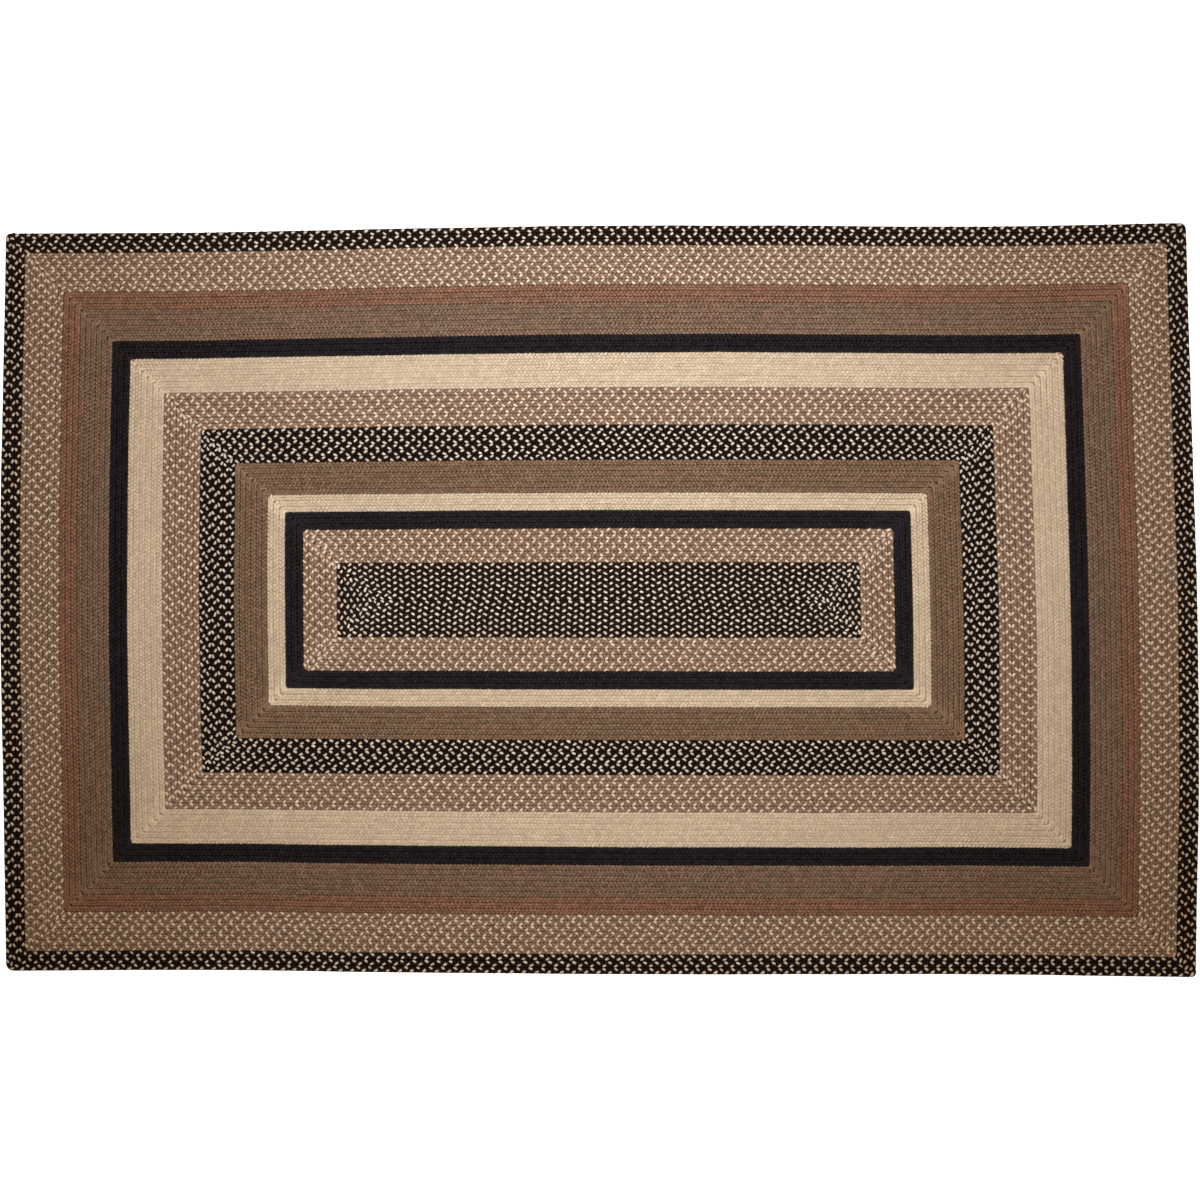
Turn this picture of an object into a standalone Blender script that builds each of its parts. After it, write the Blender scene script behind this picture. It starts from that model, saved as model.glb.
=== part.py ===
"""Braided rug, about 2.44 x 1.53 m, built up as it is made.

Flat three-strand braid is wound round and round a long centre and sewn edge to edge.
Each length of one colour is a closed band of several turns, and the turns stand up as
ribs on a flat underside.  Metres, +Z up, origin under the middle, X along the length.
"""

import math
from collections import namedtuple

import bmesh
import bpy
from mathutils import Vector

MM = 0.001

# The rectangle that the rug keeps to, but for the sway of its sides.
LENGTH = 2.440
WIDTH = 1.524

CREST = 0.008         # top of the braid above the floor
GROOVE = 0.0055       # bottom of the sewn groove between two turns
SHOULDER = 0.27       # share of a turn's width from its groove to its flat top
EDGE_HEIGHT = 0.003   # the outermost turn is widest this far up
EDGE_TUCK = 0.0015    # and its underside is this much narrower
GAP = 0.0003          # between neighbouring bands
SEAM = 0.0005         # half the width of the groove along the middle of the centre

# From the outer edge in: the turns of braid, and the width that they take on one side.
Band = namedtuple("Band", "name colour turns width_mm")
BANDS = (
    Band("band_01_black_fleck", "black_fleck", 3, 39.5),
    Band("band_02_tan_fleck", "tan_fleck", 7, 80.5),
    Band("band_03_rust", "rust", 3, 35.5),
    Band("band_04_olive_brown", "olive_brown", 6, 66.0),
    Band("band_05_black", "black", 3, 36.5),
    Band("band_06_cream", "cream", 6, 71.5),
    Band("band_07_tan_fleck", "tan_fleck", 6, 76.0),
    Band("band_08_black_fleck", "black_fleck", 6, 70.5),
    Band("band_09_brown", "brown", 6, 67.0),
    Band("band_10_cream", "cream", 3, 36.5),
    Band("band_11_black", "black", 3, 36.5),
    Band("band_12_tan_fleck", "tan_fleck", 6, 69.5),
    Band("centre_black_fleck", "black_fleck", 6, 76.5),
)

# How far a side stands out (+) or in (-) from the rectangle, in mm, at even stations.
# Long sides run left to right, short sides bottom to top.
SWAY_MM = {
    "top": (-16, -14, -6, 0, 0, -2, 5),
    "bottom": (-7, -9, -4, -1, 0, 0, 5),
    "left": (-12, -6, 0, -4, -12),
    "right": (-6, 0, -3, -15, -26),
}
SWAY_REACH = 0.53     # sideways sway dies away inside this distance from the middle

# Anticlockwise from the bottom left: the side of the middle that each corner is on, what is
# cut off it, since braid can't turn on a point, and the stretches of the side after it.
Corner = namedtuple("Corner", "right up cut_mm stretches")
CORNERS = (
    Corner(-1, -1, 9, 6),
    Corner(1, -1, 4, 4),
    Corner(1, 1, 7, 6),
    Corner(-1, 1, 6, 4),
)
CUT_SHARE = 0.8       # of a narrow outline's half width, at most

# Linear base colours of the dyed jute.
COLOURS = {
    "black_fleck": (0.060, 0.052, 0.045),
    "tan_fleck": (0.300, 0.195, 0.120),
    "rust": (0.200, 0.090, 0.050),
    "olive_brown": (0.150, 0.100, 0.065),
    "black": (0.012, 0.010, 0.012),
    "cream": (0.610, 0.450, 0.270),
    "brown": (0.160, 0.100, 0.065),
}
ROUGHNESS = 0.9


def sway(side, position):
    """The side's sway in metres at a position from -1 to 1 along it."""
    stations = SWAY_MM[side]
    place = (min(max(position, -1.0), 1.0) + 1) / 2 * (len(stations) - 1)
    first = min(int(place), len(stations) - 2)
    share = place - first
    return MM * (stations[first] * (1 - share) + stations[first + 1] * share)


def as_laid(x, y):
    """Where a point of the true rectangle lies on the rug, whose sides bow and lean."""
    up = math.sin(math.pi * y / WIDTH)
    right = min(max(x / SWAY_REACH, -1.0), 1.0)
    long_side = "top" if y > 0 else "bottom"
    short_side = "right" if x > 0 else "left"
    return (
        x + right * sway(short_side, 2 * y / WIDTH),
        y + up * sway(long_side, 2 * x / LENGTH),
    )


def turn_outline(depth):
    """The closed line of points, anticlockwise, that runs this deep inside the edge."""
    half_x = LENGTH / 2 - depth
    half_y = WIDTH / 2 - depth
    ends = []
    for corner in CORNERS:
        cut = min(corner.cut_mm * MM, CUT_SHARE * half_y)
        on_short_side = Vector((corner.right * half_x, corner.up * (half_y - cut)))
        on_long_side = Vector((corner.right * (half_x - cut), corner.up * half_y))
        if corner.right == corner.up:
            ends.append((on_short_side, on_long_side))
        else:
            ends.append((on_long_side, on_short_side))
    points = []
    for index, corner in enumerate(CORNERS):
        arriving, leaving = ends[index]
        following = ends[(index + 1) % len(CORNERS)][0]
        points.append(arriving)
        for step in range(corner.stretches):
            points.append(leaving.lerp(following, step / corner.stretches))
    return [as_laid(x, y) for x, y in points]


def ribbed_profile(band, start):
    """(depth, height) from the band's outer foot, over its turns, to its inner foot."""
    pitch = band.width_mm * MM / band.turns
    end = start + band.width_mm * MM
    if start == 0:
        profile = [(EDGE_TUCK, 0.0), (0.0, EDGE_HEIGHT)]
    else:
        profile = [(start + GAP / 2, 0.0), (start + GAP / 2, GROOVE)]
    for turn in range(band.turns):
        profile.append((start + (turn + SHOULDER) * pitch, CREST))
        profile.append((start + (turn + 1 - SHOULDER) * pitch, CREST))
        profile.append((start + (turn + 1) * pitch, GROOVE))
    if band is BANDS[-1]:
        profile[-1] = (WIDTH / 2 - SEAM, GROOVE)
    else:
        profile[-1] = (end - GAP / 2, GROOVE)
        profile.append((end - GAP / 2, 0.0))
    return profile


def jute(colour):
    """Dyed jute yarn, matt."""
    material = bpy.data.materials.new(colour)
    material.use_nodes = True
    shader = material.node_tree.nodes["Principled BSDF"]
    shader.inputs["Base Color"].default_value = (*COLOURS[colour], 1.0)
    shader.inputs["Roughness"].default_value = ROUGHNESS
    shader.inputs["Metallic"].default_value = 0.0
    material.diffuse_color = (*COLOURS[colour], 1.0)
    return material


def braid_band(band, start, collection):
    """One colour of the rug: a loft over the outlines of its turns, flat underneath.

    The outlines differ from one turn to the next, so the strips between them are
    made here.  The centre has no hole: its first and last outline are filled.
    """
    mesh = bpy.data.meshes.new(band.name)
    shape = bmesh.new()
    outlines = []
    for depth, height in ribbed_profile(band, start):
        outlines.append([shape.verts.new((x, y, height)) for x, y in turn_outline(depth)])
    is_centre = band is BANDS[-1]
    following = outlines[1:] if is_centre else outlines[1:] + outlines[:1]
    for outer, inner in zip(outlines, following):
        for index in range(len(outer)):
            shape.faces.new((outer[index - 1], outer[index], inner[index], inner[index - 1]))
    if is_centre:
        shape.faces.new(outlines[0])
        shape.faces.new(outlines[-1])
    bmesh.ops.recalc_face_normals(shape, faces=shape.faces)
    shape.to_mesh(mesh)
    shape.free()
    mesh.materials.append(jute(band.colour))
    collection.objects.link(bpy.data.objects.new(band.name, mesh))


for old in list(bpy.data.objects):
    bpy.data.objects.remove(old, do_unlink=True)

rug = bpy.data.collections.new("braided rug")
bpy.context.scene.collection.children.link(rug)

edge_distance = 0.0
for next_band in BANDS:
    braid_band(next_band, edge_distance, rug)
    edge_distance += next_band.width_mm * MM
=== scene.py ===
"""Braided jute rug, wound out from a long seam and sewn turn to turn, band after band.

Metres, +Z up, X along the rug.  The file follows the maker: the centre first, then each
colour as it is spliced on, out to the edge.  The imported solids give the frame, and the
braid's own strands are laid over it here, stitch by stitch.
"""

import math
from collections import namedtuple

import bmesh
import bpy
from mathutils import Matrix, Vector, noise


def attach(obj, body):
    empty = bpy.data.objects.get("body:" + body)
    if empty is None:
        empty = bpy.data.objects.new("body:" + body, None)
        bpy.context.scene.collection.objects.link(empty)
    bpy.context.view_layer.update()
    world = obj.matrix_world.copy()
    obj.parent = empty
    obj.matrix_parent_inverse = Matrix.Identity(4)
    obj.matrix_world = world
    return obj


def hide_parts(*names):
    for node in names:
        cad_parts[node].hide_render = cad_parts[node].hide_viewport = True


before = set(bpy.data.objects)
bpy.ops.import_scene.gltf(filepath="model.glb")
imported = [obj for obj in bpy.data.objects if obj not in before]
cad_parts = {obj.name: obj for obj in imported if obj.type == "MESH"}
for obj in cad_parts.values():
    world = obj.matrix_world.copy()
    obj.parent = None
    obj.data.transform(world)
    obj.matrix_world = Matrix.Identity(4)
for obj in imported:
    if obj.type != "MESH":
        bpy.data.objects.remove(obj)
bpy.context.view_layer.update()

# ---------------------------------------------------------------------------------------
# The centre: flat three-strand jute braid, two strands black and one undyed cream.  Two
# rows lie side by side along a seam, and the braid then winds round them.  It is sewn
# edge to edge through its inside, so no thread shows on top.
# ---------------------------------------------------------------------------------------
MM = 0.001
SEAM_LENGTH = 0.916           # of the first two rows, in the middle
HALF_LENGTH = 1.220
HALF_WIDTH = 0.762

# How far a side stands out (+) or in (-) from the true rectangle, in mm, at even stations.
# Long sides run left to right, short sides bottom to top.
SWAY_MM = {
    "top": (-16, -14, -6, 0, 0, -2, 5),
    "bottom": (-7, -9, -4, -1, 0, 0, 5),
    "left": (-12, -6, 0, -4, -12),
    "right": (-6, 0, -3, -15, -26),
}
SWAY_REACH = 0.53             # sideways sway dies away inside this distance from the middle
WAVER = 1.1 * MM              # a row sewn by hand wanders this far
WAVER_LENGTH = 0.16
WAVER_SEED = 1                # the same wander each time the rug is built
noise.seed_set(WAVER_SEED)


def sway(side, place):
    """A side's sway in metres at a place from -1 to 1, on the smooth curve of its stations."""
    stations = SWAY_MM[side]
    spot = (min(max(place, -1.0), 1.0) + 1) / 2 * (len(stations) - 1)
    first = min(int(spot), len(stations) - 2)
    t = spot - first
    here, there = stations[first], stations[first + 1]
    before = stations[max(first - 1, 0)]
    after = stations[min(first + 2, len(stations) - 1)]
    bend = (2 * before - 5 * here + 4 * there - after) * t * t
    bend += (3 * here - before - 3 * there + after) * t * t * t
    return MM * (here + ((there - before) * t + bend) / 2)


def as_laid(point):
    """Where a point of the true rectangle lies on the rug, whose sides bow and lean."""
    up = math.sin(math.pi / 2 * point.y / HALF_WIDTH)
    right = min(max(point.x / SWAY_REACH, -1.0), 1.0)
    long_side = "top" if point.y > 0 else "bottom"
    short_side = "right" if point.x > 0 else "left"
    waver = WAVER * noise.noise_vector(point.to_3d() / WAVER_LENGTH)
    return Vector(
        (
            point.x + right * sway(short_side, point.y / HALF_WIDTH) + waver.x,
            point.y + up * sway(long_side, point.x / HALF_LENGTH) + waver.y,
        )
    )


# Anticlockwise from the bottom left: which side of the middle each corner is on, and how
# far it is worn round where it is the rug's own corner.
Corner = namedtuple("Corner", "right up radius_mm")
CORNERS = (Corner(-1, -1, 15), Corner(1, -1, 7), Corner(1, 1, 12), Corner(-1, 1, 10))
MITRE_RADIUS = 5 * MM         # the braid is eased round the corners inside the rug
MOST_ROUNDED = 0.9            # share of its distance from the seam, for the first turns
WORN_BAND = 30 * MM           # and the worn corners reach this far in
ARC_STEPS = 4


def turn_path(out, long_steps, short_steps):
    """The closed line of points, anticlockwise, that runs this far out from the seam."""
    worn = max(0.0, 1 - (HALF_WIDTH - out) / WORN_BAND)
    arcs = []
    for number, corner in enumerate(CORNERS):
        radius = MITRE_RADIUS + worn * (corner.radius_mm * MM - MITRE_RADIUS)
        radius = min(radius, MOST_ROUNDED * out)
        middle = Vector(
            (corner.right * (SEAM_LENGTH / 2 + out - radius), corner.up * (out - radius))
        )
        arc = []
        for step in range(ARC_STEPS + 1):
            angle = math.pi + math.pi / 2 * (number + step / ARC_STEPS)
            arc.append(middle + radius * Vector((math.cos(angle), math.sin(angle))))
        arcs.append(arc)
    points = []
    for number, arc in enumerate(arcs):
        following = arcs[(number + 1) % len(arcs)][0]
        steps = short_steps if number % 2 else long_steps
        points += arc
        for step in range(1, steps):
            points.append(arc[-1].lerp(following, step / steps))
    return [as_laid(point) for point in points]


GROUND_CREST = 6.9 * MM       # top of the solid braid under the strands
GROUND_GROOVE = 5.3 * MM
BELLY_GROOVE = 1.2 * MM       # between two turns on the underside
EDGE_TUCK = 1.5 * MM
EDGE_HEIGHT = 3.4 * MM
EDGE_BULGE = 0.5 * MM         # of the last turn, past the width it is sewn to
GAP = 0.02 * MM               # between neighbouring bands, which are pulled tight together
SEAM_HALF = 0.5 * MM
LONG_STEPS = 30               # straight stretches of solid braid along each long side
SHORT_STEPS = 18
MAP_MARGIN = 80 * MM          # left free round the rug on the map that its colours bake to


def ground_profile(inside, turns, width):
    """(out, height) points over a band's turns, and those underneath."""
    pitch = width / turns
    top, belly = [], []
    for turn in range(turns):
        start = inside + turn * pitch
        top += [(start, GROUND_GROOVE), (start + pitch / 2, GROUND_CREST)]
        belly += [(start, BELLY_GROOVE), (start + pitch / 2, 0.0)]
    outside = inside + width
    first = max(inside + GAP / 2, SEAM_HALF)
    top[0] = (first, GROUND_GROOVE)
    belly[0] = (first, BELLY_GROOVE)
    if outside > HALF_WIDTH - GAP:
        top += [(outside - EDGE_TUCK / 2, EDGE_HEIGHT + EDGE_TUCK)]
        top += [(outside + EDGE_BULGE, EDGE_HEIGHT)]
        belly += [(outside - EDGE_TUCK, 0.0)]
    else:
        top += [(outside - GAP / 2, GROUND_GROOVE)]
        belly += [(outside - GAP / 2, BELLY_GROOVE)]
    return top, belly


def lay_ground(name, inside, turns, width, material):
    """The solid body of a band's braid, with a map of metres along its turns and out.

    Its attribute "belly" is 1 underneath, where no strands are laid over it.
    """
    top, belly = ground_profile(inside, turns, width)
    profile = top + belly[::-1]
    mesh = bpy.data.meshes.new(name)
    shape = bmesh.new()
    rows = shape.loops.layers.uv.new("rows")
    sheet_map = shape.loops.layers.uv.new("OFBake")
    underneath = shape.verts.layers.float.new("belly")
    lines = []
    for out, height in profile:
        path = turn_path(out, LONG_STEPS, SHORT_STEPS)
        line = [shape.verts.new((point.x, point.y, height)) for point in path]
        for vert in line:
            vert[underneath] = len(lines) >= len(top)
        lines.append(line)
    count = len(lines[0])
    round_turn = 4 * (SEAM_LENGTH / 2 + 2 * inside + width)
    closed = inside > 0
    pairs = list(zip(range(len(lines)), [*range(1, len(lines)), 0]))
    for first, second in pairs if closed else pairs[:-1]:
        for index in range(count):
            following = (index + 1) % count
            face = shape.faces.new(
                (
                    lines[first][index],
                    lines[first][following],
                    lines[second][following],
                    lines[second][index],
                )
            )
            face.smooth = True
            places = ((index, first), (index + 1, first), (index + 1, second), (index, second))
            for loop, (station, line) in zip(face.loops, places):
                loop[rows].uv = (station / count * round_turn, profile[line][0])
    if not closed:
        shape.faces.new(lines[0])
        shape.faces.new(lines[-1])
    bmesh.ops.recalc_face_normals(shape, faces=shape.faces)
    for face in shape.faces:
        below = face.normal.z < 0
        for loop in face.loops:
            across = loop.vert.co.x / (2 * (HALF_LENGTH + MAP_MARGIN)) + 0.5
            up = loop.vert.co.y / (2 * (HALF_WIDTH + MAP_MARGIN)) + 0.5
            loop[sheet_map].uv = (across, (up + below) / 2)   # the top in the lower half
    shape.to_mesh(mesh)
    shape.free()
    mesh.materials.append(material)
    ground = bpy.data.objects.new(name, mesh)
    bpy.context.scene.collection.objects.link(ground)
    return ground


STITCH = 8.15 * MM            # along a row, from one crossing of the strands to the next
STRANDS = 3
CORNER_EXTRA = 1.0            # stitches, at least, that fill out the braid round a corner
EASE = 0.03                   # before and after a corner, where they are gained
SIDE_STEPS = 24
DRIFT_LENGTH = 0.5            # along the rug, over which a row comes to run ahead or behind
DRIFT_TURNS = 2.4             # and across its turns

# How a turn keeps step with the one inside it: how many stitches further on it starts, and
# how many it may drift.  Half a repeat sets the cream flecks of the two side by side.
InStep = namedtuple("InStep", "over drift")
IN_PAIRS = InStep(STRANDS / 2, 2.0)
BRICKWORK = InStep(0.0, 0.8)


def stitch_counts(path, first):
    """The stitches that have gone by at each point of a turn, and how many it has in all.

    A quarter runs from the middle of one side, round a corner, to the middle of the next.
    It holds a whole number of repeats, and the stitches that takes are gained at its corner.
    """
    quarter = len(path) // 4
    steps = [(after - point).length for point, after in zip(path, path[1:] + path[:1])]
    count = first
    counts = []
    for number in range(4):
        lengths = steps[number * quarter : (number + 1) * quarter]
        natural = sum(lengths) / STITCH
        spare = STRANDS * math.ceil((natural + CORNER_EXTRA) / STRANDS) - natural
        corner = sum(lengths[: quarter // 2])
        before = min(EASE, corner)
        after = min(EASE, sum(lengths) - corner)
        gone = 0.0
        for length in lengths:
            t = min(max((gone - corner + before) / (before + after), 0.0), 1.0)
            counts.append(count + gone / STITCH + spare * t * t * (3 - 2 * t))
            gone += length
        count += natural + spare
    return counts, round(count - counts[0])


def stitch_points(turn, out, in_step):
    """Points half a stitch apart round a turn, starting where its cream strand crosses."""
    path = turn_path(out, SIDE_STEPS, SIDE_STEPS)
    start = ARC_STEPS + SIDE_STEPS // 2
    path = path[start:] + path[:start]
    counts, whole = stitch_counts(path, turn * in_step.over)
    for index, point in enumerate(path):
        place = Vector((*point / DRIFT_LENGTH, turn / DRIFT_TURNS))
        counts[index] += in_step.drift * noise.noise(place)

    # Twice round, so that a full turn can start at any stitch.
    counts += [number + whole for number in counts] + [counts[0] + 2 * whole]
    path = path + path + path[:1]
    number = STRANDS * math.ceil(counts[0] / STRANDS)
    last = number + whole
    points = []
    index = 0
    while number < last:
        while counts[index + 1] <= number:
            index += 1
        share = (number - counts[index]) / (counts[index + 1] - counts[index])
        points.append(path[index].lerp(path[index + 1], share))
        number += 0.5
    return points


CROSSING_LENGTH = 11.6 * MM   # of a strand where it shows on top
CROSSING_WIDTH = 7.0 * MM
CROSSING_HEIGHT = 2.3 * MM
CROSSING_LIFT = 5.7 * MM      # of its foot above the floor
CELL = 0.9                    # share of its cell of the colour map that a crossing takes up

# The foot of a crossing, and the two ends of its crest, in shares of its length and width.
FOOT = ((-0.5, 0), (-0.27, -0.5), (0.27, -0.5), (0.5, 0), (0.27, 0.5), (-0.27, 0.5))
CREST_BACK = -0.24
CREST_FRONT = 0.2


def strand_crossing():
    """One strand where it crosses over the others: a hump, one unit each way.

    Its +X end goes down at the edge of the braid, and the other tucks in at the middle.
    """
    shape = bmesh.new()
    yarn = shape.loops.layers.uv.new("yarn")
    foot = [shape.verts.new((x, y, 0)) for x, y in FOOT]
    back = shape.verts.new((CREST_BACK, 0, 1))
    front = shape.verts.new((CREST_FRONT, 0, 1))
    for corners in (
        (foot[0], foot[1], back),
        (foot[1], foot[2], front, back),
        (foot[2], foot[3], front),
        (foot[3], foot[4], front),
        (foot[4], foot[5], back, front),
        (foot[5], foot[0], back),
        foot[::-1],
    ):
        face = shape.faces.new(corners)
        face.smooth = True
        for loop in face.loops:
            loop[yarn].uv = (loop.vert.co.x * CELL + 0.5, loop.vert.co.y * CELL + 0.5)
    mesh = bpy.data.meshes.new("strand crossing")
    shape.to_mesh(mesh)
    shape.free()
    crossing = bpy.data.objects.new("strand crossing", mesh)
    bpy.context.scene.collection.objects.link(crossing)
    return crossing


def add(tree, kind, inputs=(), **settings):
    """Adds a node with its settings and what goes into it, and gives back its outputs.

    Inputs are values or links, in the order of the sockets or under their names or numbers.
    """
    node = tree.nodes.new(kind)
    for setting, value in settings.items():
        setattr(node, setting, value)
    for socket, value in inputs.items() if isinstance(inputs, dict) else enumerate(inputs):
        if isinstance(value, bpy.types.NodeSocket):
            tree.links.new(value, node.inputs[socket])
        else:
            node.inputs[socket].default_value = value
    return node.outputs


COLUMN = 0.22                 # share of a turn's width from its middle to each crossing
SLANT = math.radians(38)
LEAN = math.radians(13)
LOOSE = math.radians(8)       # a strand lies this much out of true
UNEVEN = Vector((0.4, 0.4, 0.2)) * MM   # and this far out of place, aside and up
LEAST_PLUMP = (0.9, 0.9, 0.92)          # of its size, where the yarn is spun thin
MOST_PLUMP = (1.1, 1.1, 1.08)
BATCH_LENGTH = 1.0 / 14       # fourteen patches of dye to a metre of yarn, or 71 mm each
ROWS_APART = 7.3              # so that no row repeats its neighbour's patches
CORNER_STRETCH = 0.3          # of the braid's width and its crossings, where it turns a corner
CORNER_REACH = 12 * MM


def braid_tree():
    """Geometry Nodes: at each point of the rows a strand crosses, to either side in turn."""
    tree = bpy.data.node_groups.new("three-strand braid", "GeometryNodeTree")
    for name, kind in (
        ("Rows", "NodeSocketGeometry"),
        ("Crossing", "NodeSocketObject"),
        ("Turn width", "NodeSocketFloat"),
        ("Column", "NodeSocketFloat"),
        ("Crossing size", "NodeSocketVector"),
        ("Slant", "NodeSocketFloat"),
        ("Lean", "NodeSocketFloat"),
        ("Seed", "NodeSocketInt"),
        ("Material", "NodeSocketMaterial"),
    ):
        tree.interface.new_socket(name, in_out="INPUT", socket_type=kind)
    tree.interface.new_socket("Braid", in_out="OUTPUT", socket_type="NodeSocketGeometry")
    given = add(tree, "NodeGroupInput")
    row = add(tree, "GeometryNodeCurveOfPoint")["Curve Index"]
    kept = tree.nodes.new("GeometryNodeCaptureAttribute")
    kept.capture_items.new("INT", "Row")
    tree.links.new(given["Rows"], kept.inputs[0])
    tree.links.new(row, kept.inputs[1])
    row = kept.outputs[1]
    points = add(tree, "GeometryNodeCurveToPoints", {"Curve": kept.outputs[0]}, mode="EVALUATED")
    tangent = points["Tangent"]

    # Even points are crossings from the outer edge of the braid, odd ones from the inner.
    index = add(tree, "GeometryNodeInputIndex")[0]
    inner = add(tree, "ShaderNodeMath", (index, 2.0), operation="MODULO")[0]
    side = add(tree, "ShaderNodeMath", (inner, 2.0, -1.0), operation="MULTIPLY_ADD")[0]
    halved = add(tree, "ShaderNodeMath", (index, 2.0), operation="DIVIDE")[0]
    step = add(tree, "ShaderNodeMath", (halved,), operation="FLOOR")[0]
    turned = add(tree, "ShaderNodeMath", (step, inner), operation="SUBTRACT")[0]
    turned = add(tree, "ShaderNodeMath", (turned, STRANDS), operation="ADD")[0]
    strand = add(tree, "ShaderNodeMath", (turned, STRANDS), operation="MODULO")[0]
    inward = add(
        tree, "ShaderNodeVectorMath", ((0.0, 0.0, 1.0), tangent), operation="CROSS_PRODUCT"
    )[0]
    stretch = add(tree, "GeometryNodeInputRadius")[0]
    from_middle = given["Turn width"]
    for share in (given["Column"], stretch, side):
        from_middle = add(tree, "ShaderNodeMath", (from_middle, share), operation="MULTIPLY")[0]
    aside = add(
        tree, "ShaderNodeVectorMath", {0: inward, "Scale": from_middle}, operation="SCALE"
    )[0]
    unevenness = add(
        tree,
        "FunctionNodeRandomValue",
        {0: -UNEVEN, 1: UNEVEN, "Seed": given["Seed"]},
        data_type="FLOAT_VECTOR",
    )[0]
    shift = add(tree, "ShaderNodeVectorMath", (aside, unevenness), operation="ADD")[0]
    marked = add(
        tree, "GeometryNodeSetPosition", {"Geometry": points["Points"], "Offset": shift}
    )[0]

    # What the materials read: the strand, its own tone, the yarn's batch and the side.
    tone = add(tree, "FunctionNodeRandomValue", {2: 0.0, 3: 1.0, "Seed": given["Seed"]})[1]
    position = add(tree, "GeometryNodeInputPosition")[0]
    apart = add(
        tree, "ShaderNodeMath", (row, ROWS_APART, given["Seed"]), operation="MULTIPLY_ADD"
    )[0]
    batch = add(
        tree,
        "ShaderNodeTexNoise",
        {"Vector": position, "W": apart, "Scale": 1 / BATCH_LENGTH, "Detail": 3.0},
        noise_dimensions="4D",
    )[0]
    for name, value in (("strand", strand), ("tone", tone), ("batch", batch), ("side", side)):
        marked = add(
            tree,
            "GeometryNodeStoreNamedAttribute",
            {"Geometry": marked, "Name": name, "Value": value},
        )[0]
    numbered = tree.nodes.new("GeometryNodeCaptureAttribute")
    numbered.capture_items.new("INT", "Number")
    tree.links.new(marked, numbered.inputs[0])
    tree.links.new(index, numbered.inputs[1])
    number = numbered.outputs[1]

    # Turned back along the row, leant down from the middle of the braid, then slanted so
    # that its front goes to the edge.
    other_side = add(tree, "ShaderNodeMath", (side, -1.0), operation="MULTIPLY")[0]
    lean = add(tree, "ShaderNodeMath", (given["Lean"], other_side), operation="MULTIPLY")[0]
    loose = add(
        tree,
        "FunctionNodeRandomValue",
        {2: math.pi - LOOSE, 3: math.pi + LOOSE, "Seed": given["Seed"]},
    )[1]
    slant = add(tree, "ShaderNodeMath", (given["Slant"], side), operation="MULTIPLY")[0]
    slant = add(tree, "ShaderNodeMath", (loose, slant), operation="SUBTRACT")[0]
    turn = add(
        tree,
        "FunctionNodeAxesToRotation",
        (tangent, (0.0, 0.0, 1.0)),
        primary_axis="X",
        secondary_axis="Z",
    )[0]
    for axis, angle in (("X", lean), ("Z", slant)):
        euler = add(tree, "ShaderNodeCombineXYZ", {axis: angle})[0]
        by = add(tree, "FunctionNodeEulerToRotation", (euler,))[0]
        turn = add(
            tree,
            "FunctionNodeRotateRotation",
            {"Rotation": turn, "Rotate By": by},
            rotation_space="LOCAL",
        )[0]
    plump = add(
        tree,
        "FunctionNodeRandomValue",
        {0: LEAST_PLUMP, 1: MOST_PLUMP, "Seed": given["Seed"]},
        data_type="FLOAT_VECTOR",
    )[0]
    spread_out = add(tree, "ShaderNodeCombineXYZ", (stretch, stretch, 1.0))[0]
    size = given["Crossing size"]
    for factor in (plump, spread_out):
        size = add(tree, "ShaderNodeVectorMath", (size, factor), operation="MULTIPLY")[0]
    crossing = add(tree, "GeometryNodeObjectInfo", {"Object": given["Crossing"]})["Geometry"]
    laid = add(
        tree,
        "GeometryNodeInstanceOnPoints",
        {
            "Points": numbered.outputs[0],
            "Instance": crossing,
            "Rotation": turn,
            "Scale": size,
        },
    )[0]
    real = add(tree, "GeometryNodeRealizeInstances", {"Geometry": laid})[0]

    # Each crossing gets its own cell of a square map, for pictures of its colours.
    total = add(tree, "GeometryNodeAttributeDomainSize", (laid,), component="INSTANCES")[
        "Instance Count"
    ]
    cells = add(tree, "ShaderNodeMath", (total,), operation="SQRT")[0]
    cells = add(tree, "ShaderNodeMath", (cells,), operation="CEIL")[0]
    column = add(tree, "ShaderNodeMath", (number, cells), operation="MODULO")[0]
    line = add(tree, "ShaderNodeMath", (number, cells), operation="DIVIDE")[0]
    line = add(tree, "ShaderNodeMath", (line,), operation="FLOOR")[0]
    yarn = add(
        tree, "GeometryNodeInputNamedAttribute", {"Name": "yarn"}, data_type="FLOAT_VECTOR"
    )[0]
    corner = add(tree, "ShaderNodeCombineXYZ", (column, line))[0]
    placed = add(tree, "ShaderNodeVectorMath", (corner, yarn), operation="ADD")[0]
    each = add(tree, "ShaderNodeMath", (1.0, cells), operation="DIVIDE")[0]
    cell_map = add(tree, "ShaderNodeVectorMath", {0: placed, "Scale": each}, operation="SCALE")[0]
    mapped = add(
        tree,
        "GeometryNodeStoreNamedAttribute",
        {"Geometry": real, "Name": "OFBake", "Value": cell_map},
        data_type="FLOAT2",
        domain="CORNER",
    )[0]
    dyed = add(
        tree, "GeometryNodeSetMaterial", {"Geometry": mapped, "Material": given["Material"]}
    )[0]
    add(tree, "NodeGroupOutput", (dyed,))
    return tree


crossing = strand_crossing()
braid = braid_tree()


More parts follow.
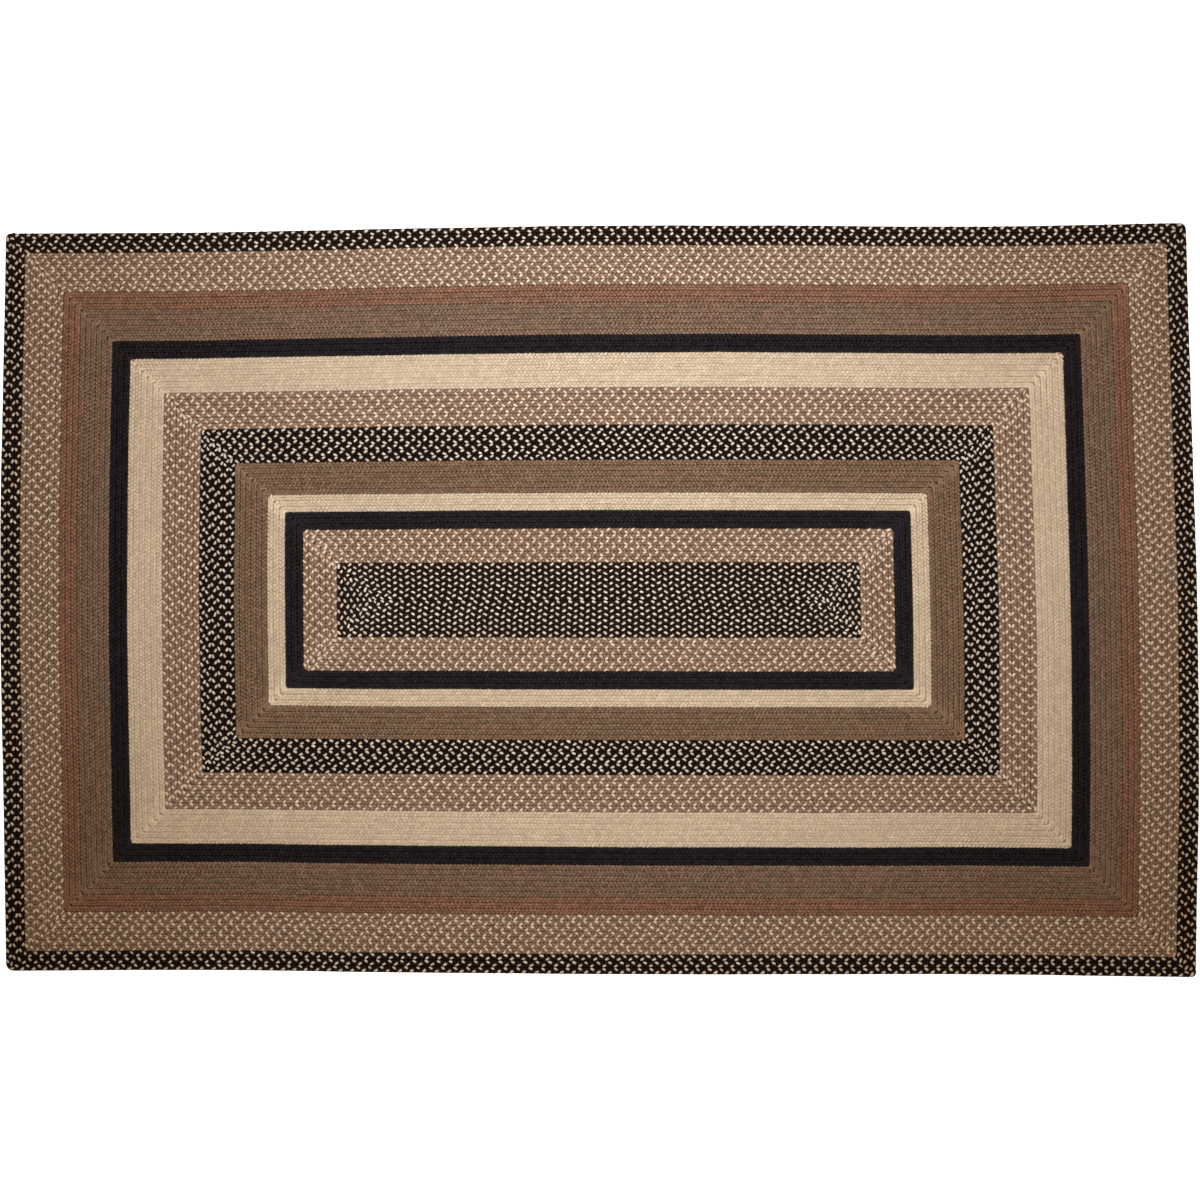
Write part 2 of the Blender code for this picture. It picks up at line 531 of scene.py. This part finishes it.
def lay_strands(name, wound, turns, width, in_step, material):
    """The braid's strands as they show on top of a band, along its turns."""
    pitch = width / turns
    curve = bpy.data.curves.new(name, "CURVE")
    curve.dimensions = "3D"
    for turn in range(turns):
        out = wound.out + (turn + 0.5) * pitch
        points = stitch_points(wound.turns + turn, out, in_step)
        corners = [
            as_laid(Vector((corner.right * (SEAM_LENGTH / 2 + out), corner.up * out)))
            for corner in CORNERS
        ]
        spline = curve.splines.new("POLY")
        spline.points.add(len(points) - 1)
        spline.use_cyclic_u = True
        for place, point in zip(spline.points, points):
            place.co = (point.x, point.y, CROSSING_LIFT, 1)
            near = min((point - corner).length for corner in corners)
            place.radius = 1 + CORNER_STRETCH * max(0.0, 1 - near / CORNER_REACH)
    rows = bpy.data.objects.new(name + " rows", curve)
    bpy.context.scene.collection.objects.link(rows)
    modifier = rows.modifiers.new("braid", "NODES")
    modifier.node_group = braid
    sizes = {
        "Crossing": crossing,
        "Turn width": pitch,
        "Column": COLUMN,
        "Crossing size": (CROSSING_LENGTH, CROSSING_WIDTH, CROSSING_HEIGHT),
        "Slant": SLANT,
        "Lean": LEAN,
        "Seed": wound.turns,
        "Material": material,
    }
    for item in braid.interface.items_tree:
        if item.in_out == "INPUT" and item.name in sizes:
            modifier[item.identifier] = sizes[item.name]
    evaluated = rows.evaluated_get(bpy.context.evaluated_depsgraph_get())
    mesh = bpy.data.meshes.new_from_object(evaluated)
    mesh.name = name
    mesh.materials.pop(index=0)     # the undyed crossing's empty slot
    bpy.data.objects.remove(rows, do_unlink=True)
    strands = bpy.data.objects.new(name, mesh)
    bpy.context.scene.collection.objects.link(strands)
    return strands


def linear(hex_colour):
    """An sRGB hex colour as linear red, green, blue and alpha."""
    shares = [int(hex_colour[place : place + 2], 16) / 255 for place in (1, 3, 5)]
    return (*[(s / 12.92 if s <= 0.04045 else ((s + 0.055) / 1.055) ** 2.4) for s in shares], 1)


# A yarn's two shades, its paler strand's two shades or none, how unevenly it takes the
# dye, and how much of its colour the painted shade leaves down between two turns, and
# where a strand dips.
Yarn = namedtuple("Yarn", "shades cream mottle gap dip")
DEEP = (1.0, 1.15, 1.3)       # light from deep between strands loses its green and blue first
SHADE_CHANGE = (0.38, 0.62)   # of the patches of dye, from the first shade to the second

# What a place on the braid is: the strand it is on, whether that may show as cream, its
# tone and patch of dye, how far it is out of the painted shade of the gaps, how much of its
# colour that painted shade leaves, and its relief from 0 to 1 or so with what 1 stands for.
Place = namedtuple("Place", "strand seen tone batch raised gap relief depth")

TONE_LENGTH = 1.0 / 90        # of a patch of tone on the solid braid, or 11 mm
DYE_LENGTH = 1.0 / 45         # and of a patch of dye, or 22 mm
BRAID_RELIEF = 1.2 * MM       # its strands, drawn underneath
FIBRE_RELIEF = 0.3            # of that, for its fibres


def solid_braid(tree, yarn, turn_width, position, fibres):
    """A place on the solid braid, whose strands are drawn from its map of metres, with painted
    shade between them on the belly and all over its top.
    """
    place = add(tree, "ShaderNodeUVMap", uv_map="rows")[0]
    along, out = add(tree, "ShaderNodeSeparateXYZ", (place,))[:2]
    across = add(tree, "ShaderNodeMath", (out, turn_width), operation="DIVIDE")[0]
    across = add(tree, "ShaderNodeMath", (across,), operation="FRACT")[0]
    inner = add(tree, "ShaderNodeMath", (across, 0.5), operation="LESS_THAN")[0]
    from_middle = add(tree, "ShaderNodeMath", (across, 0.5), operation="SUBTRACT")[0]
    from_middle = add(tree, "ShaderNodeMath", (from_middle,), operation="ABSOLUTE")[0]
    slope = turn_width / math.tan(SLANT) / STITCH
    slip = add(tree, "ShaderNodeMath", (from_middle, slope), operation="MULTIPLY")[0]
    stitches = add(tree, "ShaderNodeMath", (along, STITCH), operation="DIVIDE")[0]
    stitches = add(tree, "ShaderNodeMath", (stitches, slip), operation="ADD")[0]
    half = add(tree, "ShaderNodeMath", (inner, 0.5), operation="MULTIPLY")[0]
    count = add(tree, "ShaderNodeMath", (stitches, half), operation="SUBTRACT")[0]
    whole = add(tree, "ShaderNodeMath", (count,), operation="FLOOR")[0]
    turned = add(tree, "ShaderNodeMath", (whole, inner), operation="SUBTRACT")[0]
    strand = add(tree, "ShaderNodeMath", (turned, STRANDS), operation="FLOORED_MODULO")[0]
    hump = add(tree, "ShaderNodeMath", (count, 0.5), operation="PINGPONG")[0]
    hump = add(tree, "ShaderNodeMath", (hump, 2.0), operation="MULTIPLY")[0]
    tone, batch = (
        add(
            tree, "ShaderNodeTexNoise", {"Vector": position, "Scale": 1 / size, "Detail": 2.0}
        )[0]
        for size in (TONE_LENGTH, DYE_LENGTH)
    )
    # Painted shade: the belly is darkened between its drawn strands, and the top, which the real
    # strands cover, is painted all in the dark of the gaps.
    belly = add(tree, "ShaderNodeAttribute", attribute_name="belly")["Fac"]
    raised = add(tree, "ShaderNodeMath", (hump, belly), operation="MULTIPLY")[0]
    relief = add(
        tree, "ShaderNodeMath", (fibres, FIBRE_RELIEF, hump), operation="MULTIPLY_ADD"
    )[0]
    return Place(strand, belly, tone, batch, raised, yarn.gap, relief, BRAID_RELIEF)


# Painted shade where a crossing dips under the other strands, from the first distance to the
# second, and how much of its colour is still out of that shade there: at the braid's edge and
# at its middle, in mm out from its own middle, and at either side of the strand, in shares of
# its width.
DIP_SHADE_AT_EDGE = (1.75, 3.05, 0.0)
DIP_SHADE_AT_MIDDLE = (-1.8, -3.2, 0.2)
DIP_SHADE_ASIDE = (0.22, 0.46, 0.5)
PLY = 1.3 * MM                # spacing of the plies that show along a strand
PLY_TWIST = 0.5               # of a strand's width round it, for each length along it
PLY_RELIEF = 0.35             # of the fibres' relief
YARN_RELIEF = 0.5 * MM


def crossed_strand(tree, yarn, fibres):
    """A place on one of the braid's crossings, from its own attributes and its map."""
    strand, tone, batch, side = (
        add(tree, "ShaderNodeAttribute", attribute_name=word)["Fac"]
        for word in ("strand", "tone", "batch", "side")
    )
    own_map = add(tree, "ShaderNodeUVMap", uv_map="yarn")[0]
    along, across = add(tree, "ShaderNodeSeparateXYZ", (own_map,))[:2]
    along = add(tree, "ShaderNodeMath", (along, 0.5), operation="SUBTRACT")[0]
    across = add(tree, "ShaderNodeMath", (across, 0.5), operation="SUBTRACT")[0]
    aside = add(tree, "ShaderNodeMath", (across,), operation="ABSOLUTE")[0]
    lengthways = CROSSING_LENGTH * math.sin(SLANT) / (CELL * MM)
    sideways = CROSSING_WIDTH * math.cos(SLANT) / (CELL * MM)
    sidling = add(tree, "ShaderNodeMath", (across, side), operation="MULTIPLY")[0]
    sidling = add(tree, "ShaderNodeMath", (sidling, -sideways), operation="MULTIPLY")[0]
    outward = add(
        tree, "ShaderNodeMath", (along, lengthways, sidling), operation="MULTIPLY_ADD"
    )[0]
    # Painted shade: the crossing's colour darkens towards the braid's edge, towards its middle
    # and down its own sides.
    raised = 1.0
    for distance, (dips, under, left) in (
        (outward, DIP_SHADE_AT_EDGE),
        (outward, DIP_SHADE_AT_MIDDLE),
        (aside, DIP_SHADE_ASIDE),
    ):
        out_of_dip_shade = add(
            tree,
            "ShaderNodeMapRange",
            (distance, dips, under, 1.0, left),
            interpolation_type="SMOOTHSTEP",
        )[0]
        raised = add(tree, "ShaderNodeMath", (raised, out_of_dip_shade), operation="MULTIPLY")[0]
    twist = add(tree, "ShaderNodeMath", (along, PLY_TWIST, across), operation="MULTIPLY_ADD")[0]
    plies = math.tau * CROSSING_WIDTH / PLY
    twist = add(tree, "ShaderNodeMath", (twist, plies), operation="MULTIPLY")[0]
    ridges = add(tree, "ShaderNodeMath", (twist,), operation="SINE")[0]
    relief = add(
        tree, "ShaderNodeMath", (ridges, PLY_RELIEF, fibres), operation="MULTIPLY_ADD"
    )[0]
    return Place(strand, 1.0, tone, batch, raised, yarn.dip, relief, YARN_RELIEF)


FIBRE = 0.5 * MM              # jute fibres, drawn coarser than they are, to show at all
SLUB = 1.6 * MM               # thick and thin places in the spun yarn
MATT = 0.9                    # a hairy surface with hardly a shine, and a little fuzz
SHINE = 0.04
FUZZ = 0.02
FUZZ_SPREAD = 0.5
RELIEF_SHARE = 0.8            # of the drawn relief, which the hairs soften


def jute(name, yarn, ground_turn=None):
    """Matt jute yarn, plied and braided: soft, hairy, and a little uneven in its dye.

    The strands' own attributes say which one is cream, and they are painted darker where
    they dip under each other, as painted shade.  The solid body below has no strands: on its
    belly the same braid is drawn from the band's map, with painted shade between them, and
    its top is painted in the dark shade of the gaps between the strands.
    """
    material = bpy.data.materials.new(name)
    material.use_nodes = True
    tree = material.node_tree
    position = add(tree, "ShaderNodeTexCoord")["Object"]
    fibres = add(
        tree,
        "ShaderNodeTexNoise",
        {"Vector": position, "Scale": 1 / (2 * FIBRE), "Detail": 3.0, "Roughness": 0.65},
    )[0]
    slubs = add(
        tree,
        "ShaderNodeTexNoise",
        {"Vector": position, "Scale": 1 / (2 * SLUB), "Detail": 1.0, "Roughness": 0.4},
    )[0]
    if ground_turn:
        place = solid_braid(tree, yarn, ground_turn, position, fibres)
    else:
        place = crossed_strand(tree, yarn, fibres)

    # The dye: its shade changes from patch to patch, and one strand may have none.
    second_share = add(tree, "ShaderNodeMapRange", (place.batch, *SHADE_CHANGE))[0]
    first, second = (linear(shade) for shade in yarn.shades)
    colour = add(
        tree, "ShaderNodeMix", {0: second_share, 6: first, 7: second}, data_type="RGBA"
    )[2]
    if yarn.cream:
        first, second = (linear(shade) for shade in yarn.cream)
        pale = add(
            tree, "ShaderNodeMix", {0: place.tone, 6: first, 7: second}, data_type="RGBA"
        )[2]
        cream = add(tree, "ShaderNodeMath", (place.strand, 0.5), operation="LESS_THAN")[0]
        cream = add(tree, "ShaderNodeMath", (cream, place.seen), operation="MULTIPLY")[0]
        colour = add(tree, "ShaderNodeMix", {0: cream, 6: colour, 7: pale}, data_type="RGBA")[2]

    # Its depth: darker or paler by strand, fibre and slub, and painted shade down in the gaps and
    # where the strands dip.
    light = 1.0
    for unevenness in (place.tone, fibres, slubs):
        taken = add(
            tree,
            "ShaderNodeMath",
            (unevenness, yarn.mottle, 1 - yarn.mottle / 2),
            operation="MULTIPLY_ADD",
        )[0]
        light = add(tree, "ShaderNodeMath", (light, taken), operation="MULTIPLY")[0]
    grey = add(tree, "ShaderNodeCombineColor", (light, light, light))[0]
    # The painted shade's own colour, warmer the deeper it is.
    deep = (*[place.gap**part for part in DEEP], 1)
    shade = add(
        tree, "ShaderNodeMix", {0: place.raised, 6: deep, 7: (1, 1, 1, 1)}, data_type="RGBA"
    )[2]
    for filtered in (grey, shade):
        colour = add(
            tree,
            "ShaderNodeMix",
            {0: 1.0, 6: colour, 7: filtered},
            data_type="RGBA",
            blend_type="MULTIPLY",
        )[2]
    bump = add(
        tree,
        "ShaderNodeBump",
        {"Strength": RELIEF_SHARE, "Distance": place.depth, "Height": place.relief},
    )[0]
    surface = tree.nodes["Principled BSDF"].inputs
    tree.links.new(colour, surface["Base Color"])
    tree.links.new(bump, surface["Normal"])
    surface["Roughness"].default_value = MATT
    surface["Specular IOR Level"].default_value = SHINE
    surface["Sheen Weight"].default_value = FUZZ
    surface["Sheen Roughness"].default_value = FUZZ_SPREAD
    return material


# How far the rug has been wound: the turns laid so far, and the last one's outer edge.
Wound = namedtuple("Wound", "turns out")


def wind_band(wound, node, slot, turns, width_mm, yarn, in_step=IN_PAIRS):
    """Winds one colour on: its solid braid, and the strands on top of it."""
    width = width_mm * MM
    name = node.removeprefix("band_")
    below = jute(slot + " jute, solid braid", yarn, width / turns)
    above = jute(slot + " jute, strands", yarn)
    ground = lay_ground("braid_" + name, wound.out, turns, width, below)
    strands = lay_strands("strands_" + name, wound, turns, width, in_step, above)
    for piece in (ground, strands):
        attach(piece, "root")
    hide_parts(node)
    return Wound(wound.turns + turns, wound.out + width)


BLACK_AND_CREAM = Yarn(
    shades=("#2A180E", "#2B1B14"), cream=("#DCCABC", "#D7CCBC"), mottle=0.3, gap=0.25, dip=0.2
)
start = Wound(turns=0, out=0.0)
wound = wind_band(
    start, "centre_black_fleck", "black_fleck", 6, 76.5, BLACK_AND_CREAM, in_step=BRICKWORK
)

# ---------------------------------------------------------------------------------------
# Tan brown jute braid with one undyed strand in three, spliced on where the black ends and
# wound round the centre six times.  It is coloured a shade darker than the outer tan bands.
# ---------------------------------------------------------------------------------------
DARKER_TAN = Yarn(
    shades=("#9A7A63", "#8E725C"), cream=("#E2CAB6", "#DDC7B1"), mottle=0.3, gap=0.45, dip=0.57
)
wound = wind_band(wound, "band_12_tan_fleck", "tan_fleck", 6, 69.5, DARKER_TAN)

# ---------------------------------------------------------------------------------------
# Black jute braid, all three strands dyed, sewn on in three turns.  So dark a dye hides
# the single strands, and the grooves between its turns hardly show.
# ---------------------------------------------------------------------------------------
BLACK = Yarn(shades=("#2C2426", "#292328"), cream=None, mottle=0.6, gap=0.12, dip=0.15)
wound = wind_band(wound, "band_11_black", "black", 3, 36.5, BLACK)

# ---------------------------------------------------------------------------------------
# Undyed jute braid round the black, three turns wide and sewn as tight as the rest.  So
# pale a yarn sends light back into its gaps, so the painted shade in them is kept light.
# ---------------------------------------------------------------------------------------
CREAM = Yarn(shades=("#DAC4A9", "#D5BFA4"), cream=None, mottle=0.2, gap=0.75, dip=0.8)
wound = wind_band(wound, "band_10_cream", "cream", 3, 36.5, CREAM)

# ---------------------------------------------------------------------------------------
# Brown jute braid in six turns.  It is plied from mixed yarns, some greenish and some
# reddish, so its colour shifts slowly along a turn.
# ---------------------------------------------------------------------------------------
BROWN = Yarn(shades=("#8C6C56", "#846C55"), cream=None, mottle=0.4, gap=0.35, dip=0.5)
wound = wind_band(wound, "band_09_brown", "brown", 6, 67.0, BROWN)

# ---------------------------------------------------------------------------------------
# The two braids with an undyed strand again, six turns of each: the black and cream, its
# black painted deeper as painted shade for how dark it shows in low light, and the tan
# and cream sewn round it.
# ---------------------------------------------------------------------------------------
DEEPER_BLACK = BLACK_AND_CREAM._replace(shades=("#22120A", "#231510"))
wound = wind_band(wound, "band_08_black_fleck", "black_fleck", 6, 70.5, DEEPER_BLACK)
TAN_AND_CREAM = Yarn(
    shades=("#A08069", "#947862"), cream=("#E8D1BE", "#E3CEB9"), mottle=0.3, gap=0.5, dip=0.6
)
wound = wind_band(wound, "band_07_tan_fleck", "tan_fleck", 6, 76.0, TAN_AND_CREAM)

# ---------------------------------------------------------------------------------------
# The broad cream band, six turns of undyed jute, painted paler than the inner cream as
# painted light for how bright it shows where the lamp falls away, and the black one that
# frames it, three turns of the same braid as the inner black band.
# ---------------------------------------------------------------------------------------
PALER_CREAM = Yarn(shades=("#DFC9AF", "#DAC4AA"), cream=None, mottle=0.2, gap=0.75, dip=0.8)
wound = wind_band(wound, "band_06_cream", "cream", 6, 71.5, PALER_CREAM)
wound = wind_band(wound, "band_05_black", "black", 3, 36.5, BLACK)

# ---------------------------------------------------------------------------------------
# Olive brown jute braid, six turns, and three of rust brown sewn on outside it.  Both are
# of mixed yarns, as the inner brown is, and close to each other in tone.
# ---------------------------------------------------------------------------------------
OLIVE_BROWN = Yarn(shades=("#906F5D", "#87715C"), cream=None, mottle=0.4, gap=0.35, dip=0.5)
wound = wind_band(wound, "band_04_olive_brown", "olive_brown", 6, 66.0, OLIVE_BROWN)
RUST = Yarn(shades=("#9A6E59", "#936F5A"), cream=None, mottle=0.4, gap=0.35, dip=0.5)
wound = wind_band(wound, "band_03_rust", "rust", 3, 35.5, RUST)

# ---------------------------------------------------------------------------------------
# The outer border: seven turns of the tan and cream braid, and three of the black and
# cream at the very edge.  The last turn has no binding, and its own side is the edge.
# ---------------------------------------------------------------------------------------
wound = wind_band(wound, "band_02_tan_fleck", "tan_fleck", 7, 80.5, TAN_AND_CREAM)
wind_band(wound, "band_01_black_fleck", "black_fleck", 3, 39.5, BLACK_AND_CREAM)
bpy.data.objects.remove(crossing, do_unlink=True)

# ---------------------------------------------------------------------------------------
# The studio: a floor of white acrylic sheet, lit from below as well, so that it stays white
# past the lamp's reach.  A softbox hangs over the rug, and the camera looks straight down.
# ---------------------------------------------------------------------------------------
FLOOR_SIZE = 30.0
FLOOR_DROP = 0.2 * MM         # under the rug, so that the two faces don't coincide
FLOOR_MATT = 0.9
FLOOR_GLOW = 0.95
bpy.ops.mesh.primitive_plane_add(size=FLOOR_SIZE, location=(0, 0, -FLOOR_DROP))
floor = bpy.context.object
floor.name = "floor"
acrylic = bpy.data.materials.new("white acrylic sheet")
acrylic.use_nodes = True
sheet = acrylic.node_tree.nodes["Principled BSDF"]
sheet.inputs["Base Color"].default_value = linear("#F5F5F5")
sheet.inputs["Roughness"].default_value = FLOOR_MATT
sheet.inputs["Emission Color"].default_value = (1, 1, 1, 1)
sheet.inputs["Emission Strength"].default_value = FLOOR_GLOW
floor.data.materials.append(acrylic)

# The room's walls send back a little warm light, and are seen as plain white.
WALL_LIGHT = (0.28, 0.18, 0.06, 1)
world = bpy.data.worlds.new("studio")
world.use_nodes = True
room = world.node_tree
seen = add(room, "ShaderNodeLightPath")["Is Camera Ray"]
walls = add(room, "ShaderNodeMix", {0: seen, 6: WALL_LIGHT, 7: (1, 1, 1, 1)}, data_type="RGBA")[2]
room.links.new(walls, room.nodes["Background"].inputs["Color"])
bpy.context.scene.world = world

# The softbox has a grid over it, so that its light falls away to the corners of the rug.
SOFTBOX_PLACE = (0.03, 0.4, 2.5)
SOFTBOX_SIZE = 2.0
SOFTBOX_SPREAD = math.radians(75)
SOFTBOX_POWER = 26.8
SOFTBOX_COLOUR = (0.845, 0.917, 1.0)
softbox = bpy.data.lights.new("softbox", "AREA")
softbox.shape = "SQUARE"
softbox.size = SOFTBOX_SIZE
softbox.spread = SOFTBOX_SPREAD
softbox.energy = SOFTBOX_POWER
softbox.color = SOFTBOX_COLOUR
lamp = bpy.data.objects.new("softbox", softbox)
lamp.location = SOFTBOX_PLACE
lamp.visible_camera = False
bpy.context.scene.collection.objects.link(lamp)

PHOTO_WIDTH = 2.4417          # of the floor that the picture takes in
PHOTO_CENTRE = 1.0 * MM       # to the right of the rug's own
RUG_HEIGHT = 8 * MM
LENS = 85.0
SENSOR = 36.0
lens = bpy.data.cameras.new("camera")
lens.lens = LENS
lens.sensor_width = SENSOR
camera = bpy.data.objects.new("camera", lens)
camera.location = (PHOTO_CENTRE, 0.0, RUG_HEIGHT + PHOTO_WIDTH * LENS / SENSOR)
bpy.context.scene.collection.objects.link(camera)
bpy.context.scene.camera = camera
bpy.context.scene.view_settings.view_transform = "Standard"
